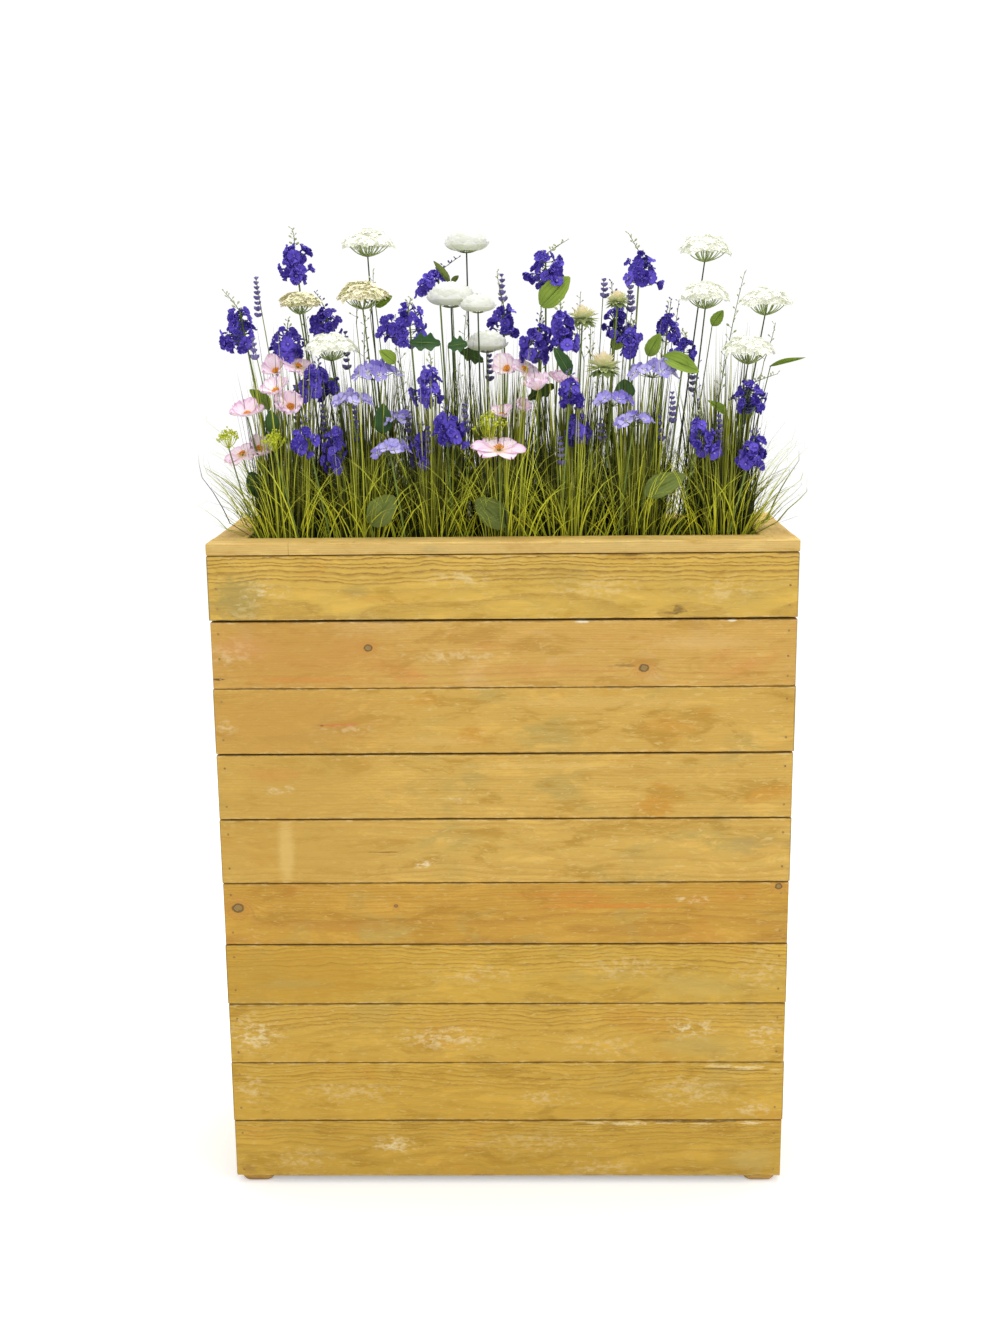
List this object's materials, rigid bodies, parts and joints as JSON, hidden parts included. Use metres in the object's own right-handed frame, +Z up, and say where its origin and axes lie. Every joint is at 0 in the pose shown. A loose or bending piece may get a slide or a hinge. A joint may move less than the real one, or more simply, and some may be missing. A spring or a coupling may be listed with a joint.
{
  "type": "wooden planter",
  "caption": "Tall narrow planter box of sawn boards with a flat rim and low feet, and a lift-out trough of artificial meadow flowers and grass.",
  "frame": {"origin": "on the ground, at the centre of the box's footprint", "axes": "+X along the box to the right of someone facing its front, +Y from the front to the back, +Z up; the front faces -Y"},
  "size_m": [0.88, 0.325, 1.4956],
  "materials": {
    "upper_boards": "rough-sawn treated softwood, golden",
    "lower_boards": "rough-sawn treated softwood, darker",
    "rim_wood": "planed treated softwood, pale",
    "frame_wood": "sawn softwood",
    "nail_steel": "dull galvanised",
    "trough_plastic": "matt black",
    "dry_foam": "matt, open-pored",
    "grass": "matt moulded blades",
    "stems": "matt wrapped wire",
    "blue_petals": "woven petals",
    "white_petals": "woven petals",
    "pink_petals": "woven petals"
  },
  "bodies": {
    "box": {"back_board_01": "upper_boards", "back_board_02": "upper_boards", "back_board_03": "upper_boards", "back_board_04": "upper_boards", "back_board_05": "upper_boards", "back_board_06": "lower_boards", "back_board_07": "lower_boards", "back_board_08": "lower_boards", "back_board_09": "lower_boards", "back_board_10": "lower_boards", "cap_back": "rim_wood", "cap_front": "rim_wood", "cap_left": "rim_wood", "cap_right": "rim_wood", "corner_post_back_left": "frame_wood", "corner_post_back_right": "frame_wood", "corner_post_front_left": "frame_wood", "corner_post_front_right": "frame_wood", "floor_slats": "frame_wood", "foot_pads": "frame_wood", "front_board_01": "upper_boards", "front_board_02": "upper_boards", "front_board_03": "upper_boards", "front_board_04": "upper_boards", "front_board_05": "upper_boards", "front_board_06": "lower_boards", "front_board_07": "lower_boards", "front_board_08": "lower_boards", "front_board_09": "lower_boards", "front_board_10": "lower_boards", "left_board_01": "upper_boards", "left_board_02": "upper_boards", "left_board_03": "upper_boards", "left_board_04": "upper_boards", "left_board_05": "upper_boards", "left_board_06": "lower_boards", "left_board_07": "lower_boards", "left_board_08": "lower_boards", "left_board_09": "lower_boards", "left_board_10": "lower_boards", "nails": "nail_steel", "right_board_01": "upper_boards", "right_board_02": "upper_boards", "right_board_03": "upper_boards", "right_board_04": "upper_boards", "right_board_05": "upper_boards", "right_board_06": "lower_boards", "right_board_07": "lower_boards", "right_board_08": "lower_boards", "right_board_09": "lower_boards", "right_board_10": "lower_boards", "shelf_slats": "frame_wood", "slat_bearers": "frame_wood"},
    "planting": {"trough": "trough_plastic", "foam_blocks": "dry_foam", "grass_tufts": "grass", "flower_stems": "stems", "spire_heads": "blue_petals", "white_heads": "white_petals", "low_heads": "pink_petals"}
  },
  "joints": [
    {"name": "insert_lift", "type": "slide", "parent": "box", "child": "planting", "axis": [0, 0, 1], "range_m": [0, 0.3]}
  ]
}
